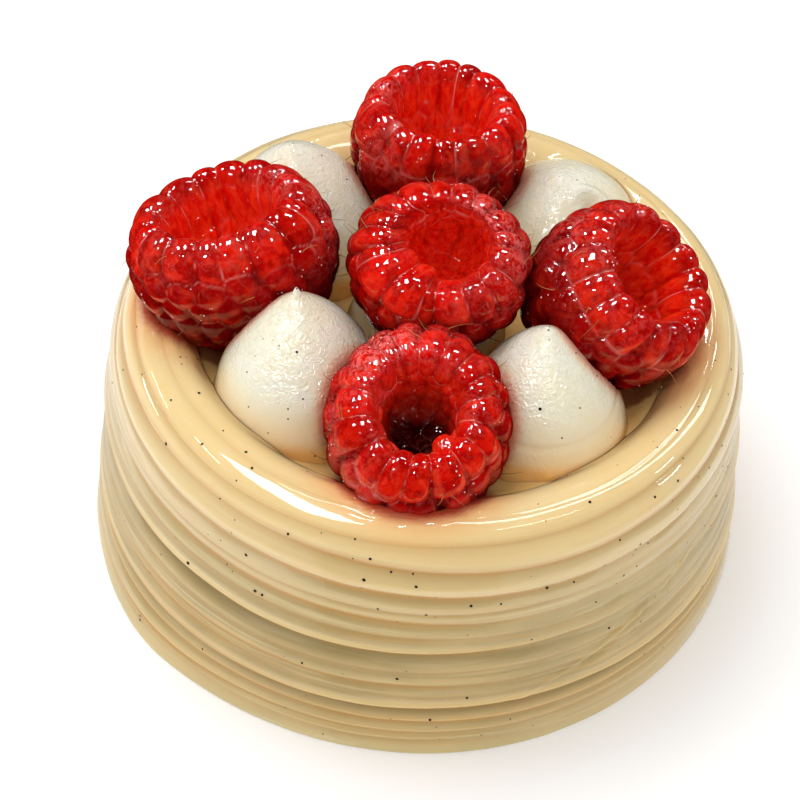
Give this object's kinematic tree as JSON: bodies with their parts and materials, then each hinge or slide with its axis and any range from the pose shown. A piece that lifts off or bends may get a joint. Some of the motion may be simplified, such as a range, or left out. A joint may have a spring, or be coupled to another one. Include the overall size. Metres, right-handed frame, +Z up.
{
  "type": "berry shortcake",
  "caption": "Small round cake of vanilla cream with ridged, glazed sides and a rounded rim, its hollow top filled with piped cream kisses and whole hollow raspberries.",
  "frame": {"origin": "middle of the cake's flat underside", "axes": "+Z up; -Y towards the side that the picture shows; +X to the picture's right"},
  "size_m": [0.0784, 0.0784, 0.0511],
  "materials": {
    "vanilla_cream": "glossy glazed vanilla cream, pale yellow with tan grooves and black specks",
    "piped_cream": "satin off-white piped cream with a few fine dark specks",
    "raspberry_red": "glossy, slightly translucent deep red fruit"
  },
  "bodies": {
    "root": {"cake_body": "vanilla_cream", "cream_filling": "piped_cream", "kiss_front_left": "piped_cream", "kiss_front_right": "piped_cream", "kiss_back_left": "piped_cream", "kiss_back_right": "piped_cream", "kiss_centre": "piped_cream", "berry_back": "raspberry_red", "berry_left": "raspberry_red", "berry_right": "raspberry_red", "berry_centre": "raspberry_red", "berry_front": "raspberry_red"}
  },
  "joints": []
}
